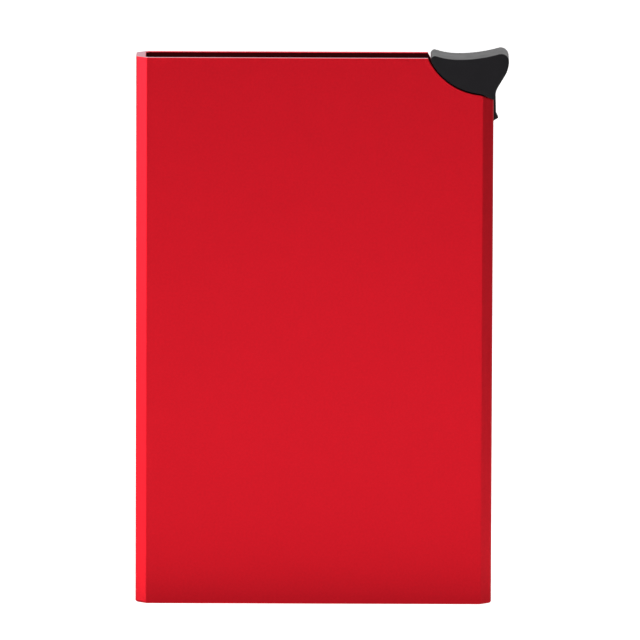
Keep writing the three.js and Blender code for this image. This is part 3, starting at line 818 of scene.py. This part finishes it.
# A strip with ribs along it: its free face is a row of ribs, each a cosine wave that fades out towards
# the strip's two ends, and its other face is flat on the wall
def makeGrip(node, name, side):
    low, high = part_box(node)
    wall, free = (low.y, high.y) if side < 0 else (high.y, low.y)
    along = np.linspace(0, 1, grip["ribPoints"] * grip["ribs"] + 1)
    fade = np.minimum(1, np.minimum(along, 1 - along) * grip["ribs"] / grip["fadeRibs"])
    wave = 0.5 - 0.5 * np.cos(2 * np.pi * grip["ribs"] * along)
    face = free - np.sign(free - wall) * grip["ribDepth"] * (1 - wave * fade)
    heights = low.z + (high.z - low.z) * along
    outline = np.concatenate([np.stack([face, heights], 1), [(wall, high.z), (wall, low.z)]])
    inwards = np.sign(outline.mean(0) - outline) * np.array([1, grip["endThinning"]]) * grip["endRadius"]
    insets = np.array(grip["endInsets"])
    spans = np.array(grip["endSpans"]) * grip["endRadius"]
    outlines = [outline + inwards * inset for inset in np.concatenate([insets, insets[::-1]])]
    places = np.concatenate([low.x + spans, high.x - spans[::-1]])
    piece = smooth(stacked(name, outlines, places, "yz"), grip["smoothAngle"])
    return settle(piece, "case", "soft_rubber", softRubber, node)


makeGrip("grip_strip_front", "gripStripFront", -1)
makeGrip("grip_strip_back", "gripStripBack", 1)
print("case fittings made")


# Slider fittings: bar, lifter, pin and rivets

makeCopy("slide_bar", "slideBarStrip", easedEdge["bar"], "slider", "steel", barSteel)
makeCopy("lifter", "cardLifter", easedEdge["lifter"], "slider", "white_plastic", whitePlastic)

# The pin's far end, which shows at the back, is domed by a share of its chamfer round a small flat
pin = {"chamfer": 0.12 * mm, "domeShare": 0.3, "flatShare": 0.2, "smoothAngle": 40}
rivet = {
    "headHeight": 0.4 * mm, "shankRadius": 0.7 * mm, "firstAngle": 0.12, "headPoints": 6, "smoothAngle": 40,
}


# A turned piece along Y in the box of its node, from pairs that a function gives for its radius and length
def makeRod(node, name, pairsFor, smoothAngle):
    low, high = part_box(node)
    middle = (low + high) / 2
    pairs = pairsFor((high.x - low.x) / 2, high.y - low.y)
    piece = turned(name, pairs, (middle.x, low.y, middle.z), "y", rodSides)
    return settle(smooth(piece, smoothAngle), "slider", "steel", screwSteel, node)


# A straight rod with a chamfer at its hidden end and a blunt dome at the other
def pinPairs(radius, length):
    chamfer = pin["chamfer"]
    dome = chamfer * pin["domeShare"]
    return [
        (radius - chamfer, 0), (radius, chamfer), (radius, length - chamfer), (radius - dome, length - dome),
        (radius - chamfer, length), (radius * pin["flatShare"], length),
    ]


# A shank between two domed heads: a head's radius times the sine, its height times one less the cosine
def rivetPairs(radius, length):
    height, shank = rivet["headHeight"], rivet["shankRadius"]
    angles = np.linspace(rivet["firstAngle"], np.pi / 2, rivet["headPoints"])
    dome = np.stack([radius * np.sin(angles), height * (1 - np.cos(angles))], 1)
    far = np.stack([dome[::-1, 0], length - dome[::-1, 1]], 1)
    return np.concatenate([dome, [(shank, height), (shank, length - height)], far])


makeRod("trigger_pin", "triggerPinRod", pinPairs, pin["smoothAngle"])
for number in (1, 2):
    makeRod(f"lifter_rivet_{number}", f"lifterRivet{number}", rivetPairs, rivet["smoothAngle"])
print("slider fittings made")


# Floor, backdrop, light and camera

setting = {
    "floorHalf": 3.0, "floorGap": 0.02 * mm, "floorGlow": 0.88, "floorMirrored": 0.15, "floorColor": 0.8,
    "worldBright": 0.85, "worldDark": 0.4,
    "elevation": 9.4, "azimuth": 0.0, "roll": 0.2, "distance": 3.0, "sensor": 36, "clip": (0.1, 50),
    "pixels": 640, "pixelsPerMm": 5.203, "centreX": 314.1, "centreY": 328.1,
}
middle = Vector((0, 0, sleeve["mouth"] / 2))


# The backdrop's share of its own white: one value to the camera, one to rays by way of metal or glass
def ownWhite(tree, direct, mirrored):
    path = tree.nodes.new("ShaderNodeLightPath")
    shares = {"Is Camera Ray": direct, "Is Glossy Ray": mirrored, "Is Transmission Ray": mirrored}
    total = None
    for kind, share in shares.items():
        step = tree.nodes.new("ShaderNodeMath")
        step.operation = "MULTIPLY_ADD"
        step.inputs[1].default_value = share
        step.inputs[2].default_value = 0
        tree.links.new(path.outputs[kind], step.inputs[0])
        if total:
            tree.links.new(total, step.inputs[2])
        total = step.outputs[0]
    return total


# The floor's paint: a plain white surface with the backdrop's own white added
def whiteSurface(name):
    material = bpy.data.materials.new(name)
    material.use_nodes = True
    tree = material.node_tree
    tree.nodes.remove(tree.nodes["Principled BSDF"])
    lit = tree.nodes.new("ShaderNodeBsdfDiffuse")
    lit.inputs["Color"].default_value = (setting["floorColor"],) * 3 + (1,)
    glow = tree.nodes.new("ShaderNodeEmission")
    glow.inputs["Color"].default_value = (1, 1, 1, 1)
    added = tree.nodes.new("ShaderNodeAddShader")
    tree.links.new(ownWhite(tree, setting["floorGlow"], setting["floorMirrored"]), glow.inputs["Strength"])
    tree.links.new(lit.outputs[0], added.inputs[0])
    tree.links.new(glow.outputs[0], added.inputs[1])
    tree.links.new(added.outputs[0], tree.nodes["Material Output"].inputs["Surface"])
    return material


# The surface of a dark card, as bright as its shade says from everywhere
def cardSurface(name, shade):
    material = bpy.data.materials.new(name)
    material.use_nodes = True
    tree = material.node_tree
    tree.nodes.remove(tree.nodes["Principled BSDF"])
    glow = tree.nodes.new("ShaderNodeEmission")
    glow.inputs["Strength"].default_value = shade
    tree.links.new(glow.outputs[0], tree.nodes["Material Output"].inputs["Surface"])
    return material


# A flat sheet of the stage, level and centred on its place
def stageSheet(name, size, place, material):
    half = (size[0] / 2, size[1] / 2)
    corners = [(x, y, 0) for x, y in rectangle((-half[0], -half[1]), half)]
    mesh = bpy.data.meshes.new(name)
    mesh.from_pydata(corners, [], [(0, 1, 2, 3)])
    mesh.materials.append(material)
    sheet = bpy.data.objects.new(name, mesh)
    sheet.location = place
    bpy.context.scene.collection.objects.link(sheet)
    return sheet


# Turns a lamp or a card so that its face looks at the middle of the holder
def aimAtMiddle(one, place):
    one.rotation_euler = (middle - Vector(place)).to_track_quat("-Z", "Y").to_euler()


# The world is white to the camera and in the metal. For the light on the object it is dimmer on the right.
def makeWorld():
    world = bpy.data.worlds.new("studio")
    bpy.context.scene.world = world
    world.use_nodes = True
    tree = world.node_tree
    shine = tree.nodes["Background"]
    white = tree.nodes.new("ShaderNodeBackground")
    white.inputs["Color"].default_value = (1, 1, 1, 1)
    place = tree.nodes.new("ShaderNodeTexCoord")
    split = tree.nodes.new("ShaderNodeSeparateXYZ")
    ramp = tree.nodes.new("ShaderNodeMapRange")
    ramp.inputs["From Min"].default_value = -1
    ramp.inputs["From Max"].default_value = 1
    ramp.inputs["To Min"].default_value = setting["worldBright"]
    ramp.inputs["To Max"].default_value = setting["worldDark"]
    mix = tree.nodes.new("ShaderNodeMixShader")
    tree.links.new(place.outputs["Generated"], split.inputs[0])
    tree.links.new(split.outputs["X"], ramp.inputs["Value"])
    tree.links.new(ramp.outputs["Result"], shine.inputs["Strength"])
    tree.links.new(ownWhite(tree, 1, 1), mix.inputs[0])
    tree.links.new(shine.outputs[0], mix.inputs[1])
    tree.links.new(white.outputs[0], mix.inputs[2])
    tree.links.new(mix.outputs[0], tree.nodes["World Output"].inputs["Surface"])


# The floor lamp shines straight down and isn't mirrored, so that it brightens the floor and not the metal
lamps = {
    "leftBox": {"place": (-0.75, -0.12, 0.2), "size": (0.35, 0.4), "power": 2.8, "onFloor": False},
    "topBox": {"place": (0.0, 0.3, 0.9), "size": (0.9, 0.7), "power": 4.5, "onFloor": False},
    "floorBox": {"place": (0.0, -0.26, 0.3), "size": (0.6, 0.15), "power": 1.5, "onFloor": True},
}


# Each lamp is a lit rectangle out of the camera's sight
def makeLamps():
    for name, lamp in lamps.items():
        data = bpy.data.lights.new(name, "AREA")
        data.shape = "RECTANGLE"
        data.size, data.size_y = lamp["size"]
        data.energy = lamp["power"]
        one = bpy.data.objects.new(name, data)
        one.location = lamp["place"]
        one.visible_glossy = not lamp["onFloor"]
        if not lamp["onFloor"]:
            aimAtMiddle(one, lamp["place"])
        one.visible_camera = False
        bpy.context.scene.collection.objects.link(one)


# The foot card lies level round the holder's foot: a painted shadow that stands in for the floor's contact
# shade in what the metal mirrors, and darkens the holder's lowest edge.
flags = {
    "rightFlag": {"place": (0.42, -0.07, 0.21), "size": (0.5, 0.4), "shade": 0.11, "onFloor": False},
    "frontFlag": {"place": (0.0, -1.1, 0.32), "size": (1.2, 0.6), "shade": 0.5, "onFloor": False},
    # Painted shadow: a dark card on the floor round the foot, which only reflections show
    "paintedFootShadow": {"place": (0.0, 0.0, 0.2 * mm), "size": (0.1, 0.04), "shade": 0.6, "onFloor": True},
}


# Dark cards out of the camera's sight, which darken what the metal mirrors
def makeFlags():
    for name, flag in flags.items():
        one = stageSheet(name, flag["size"], flag["place"], cardSurface(name, flag["shade"]))
        if not flag["onFloor"]:
            aimAtMiddle(one, flag["place"])
        one.visible_camera = False
        one.visible_diffuse = False
        one.visible_shadow = False


# The camera looks at the holder's middle from its azimuth and elevation. The aim then moves by the offset of
# the photograph's centre, in pixels over pixels to the metre, and the focal length gives that scale.
def makeCamera():
    s = setting
    up = math.radians(s["elevation"])
    around = math.radians(s["azimuth"])
    roll = math.radians(s["roll"])
    scale = s["pixelsPerMm"] / mm
    look = Vector((math.sin(around) * math.cos(up), math.cos(around) * math.cos(up), -math.sin(up)))
    level = Vector((math.cos(around), -math.sin(around), 0))
    upright = level.cross(look)
    right = level * math.cos(roll) + upright * math.sin(roll)
    top = upright * math.cos(roll) - level * math.sin(roll)
    offset = (s["pixels"] / 2 - s["centreX"], s["centreY"] - s["pixels"] / 2)
    aim = middle + (right * offset[0] + top * offset[1]) / scale
    data = bpy.data.cameras.new("camera")
    data.sensor_width = s["sensor"]
    data.lens = s["sensor"] * s["distance"] * scale / s["pixels"]
    data.clip_start, data.clip_end = s["clip"]
    camera = bpy.data.objects.new("camera", data)
    turn = Matrix((right, top, -look)).transposed().to_4x4()
    camera.matrix_world = Matrix.Translation(aim - look * s["distance"]) @ turn
    bpy.context.scene.collection.objects.link(camera)
    bpy.context.scene.camera = camera


floorSize = (2 * setting["floorHalf"],) * 2
stageSheet("floor", floorSize, (0, 0, -setting["floorGap"]), whiteSurface("whiteFloor"))
makeWorld()
makeLamps()
makeFlags()
makeCamera()
bpy.context.scene.view_settings.view_transform = "Standard"
print("stage made")
